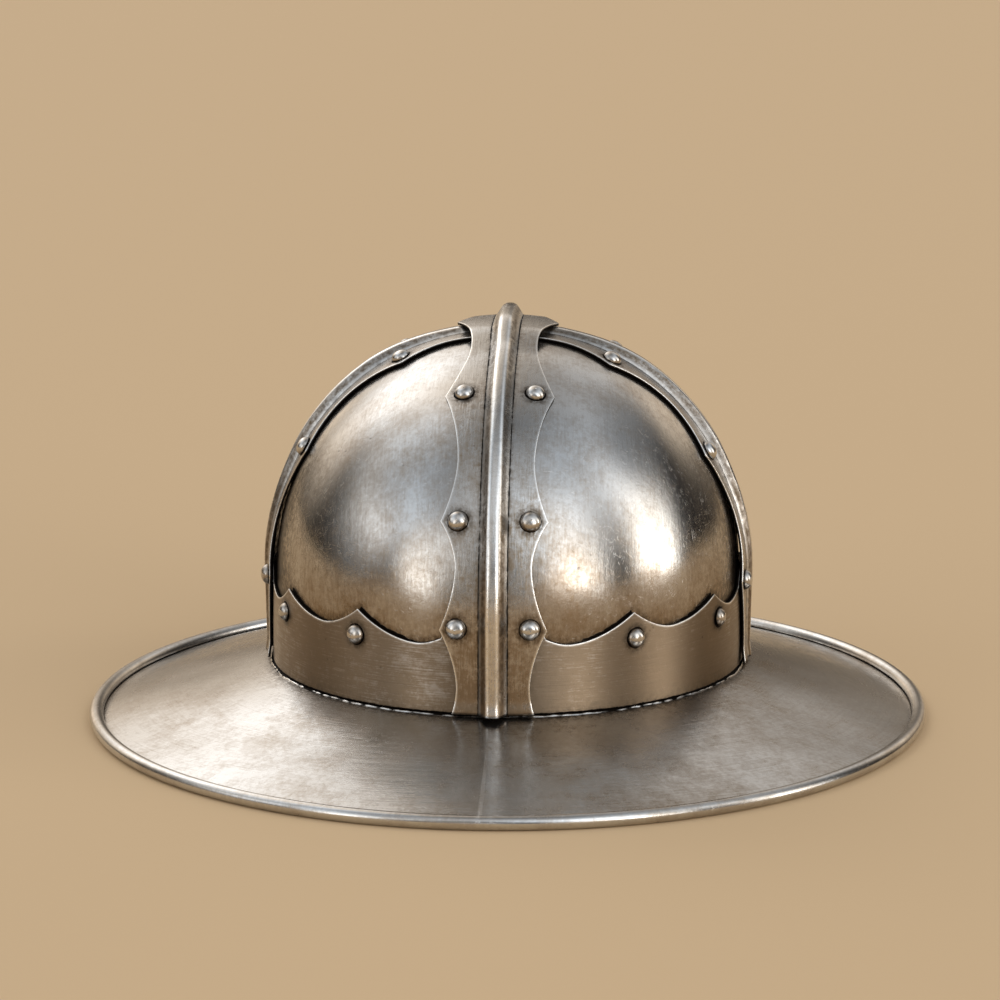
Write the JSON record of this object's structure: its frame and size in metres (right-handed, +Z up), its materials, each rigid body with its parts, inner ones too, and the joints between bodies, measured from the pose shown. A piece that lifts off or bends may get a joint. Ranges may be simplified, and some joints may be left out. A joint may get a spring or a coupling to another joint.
{
  "type": "kettle hat",
  "caption": "Kettle hat of riveted steel: domed crown of quarter plates under ridged bands with pointed edges, brow band, and a wide sloping brim with a rolled edge.",
  "frame": {"origin": "middle of the hat on the surface that the rolled edge of the brim rests on", "axes": "+Z up through the crown, -Y towards the front, +X towards the wearer's left"},
  "size_m": [0.3584, 0.4008, 0.1755],
  "materials": {
    "steel_plate": "satin steel with a thin warm brown patina",
    "steel_band": "brushed along the band, brown patina, bright worn edges",
    "steel_brim": "satin steel, smooth, darker towards the crown",
    "steel_rivet": "polished domed heads"
  },
  "bodies": {
    "root": {"brim": "steel_brim", "brow_band": "steel_band", "fore_aft_band": "steel_band", "side_band_left": "steel_band", "side_band_right": "steel_band", "plate_front_left": "steel_plate", "plate_front_right": "steel_plate", "plate_rear_left": "steel_plate", "plate_rear_right": "steel_plate", "rivet_front_band_left_1": "steel_rivet", "rivet_front_band_left_2": "steel_rivet", "rivet_front_band_left_3": "steel_rivet", "rivet_left_band_front_1": "steel_rivet", "rivet_left_band_front_2": "steel_rivet", "rivet_left_band_front_3": "steel_rivet", "rivet_brow_front_left_1": "steel_rivet", "rivet_brow_front_left_2": "steel_rivet", "rivet_front_band_right_1": "steel_rivet", "rivet_front_band_right_2": "steel_rivet", "rivet_front_band_right_3": "steel_rivet", "rivet_right_band_front_1": "steel_rivet", "rivet_right_band_front_2": "steel_rivet", "rivet_right_band_front_3": "steel_rivet", "rivet_brow_front_right_1": "steel_rivet", "rivet_brow_front_right_2": "steel_rivet", "rivet_rear_band_left_1": "steel_rivet", "rivet_rear_band_left_2": "steel_rivet", "rivet_rear_band_left_3": "steel_rivet", "rivet_left_band_rear_1": "steel_rivet", "rivet_left_band_rear_2": "steel_rivet", "rivet_left_band_rear_3": "steel_rivet", "rivet_brow_rear_left_1": "steel_rivet", "rivet_brow_rear_left_2": "steel_rivet", "rivet_rear_band_right_1": "steel_rivet", "rivet_rear_band_right_2": "steel_rivet", "rivet_rear_band_right_3": "steel_rivet", "rivet_right_band_rear_1": "steel_rivet", "rivet_right_band_rear_2": "steel_rivet", "rivet_right_band_rear_3": "steel_rivet", "rivet_brow_rear_right_1": "steel_rivet", "rivet_brow_rear_right_2": "steel_rivet"}
  },
  "joints": []
}
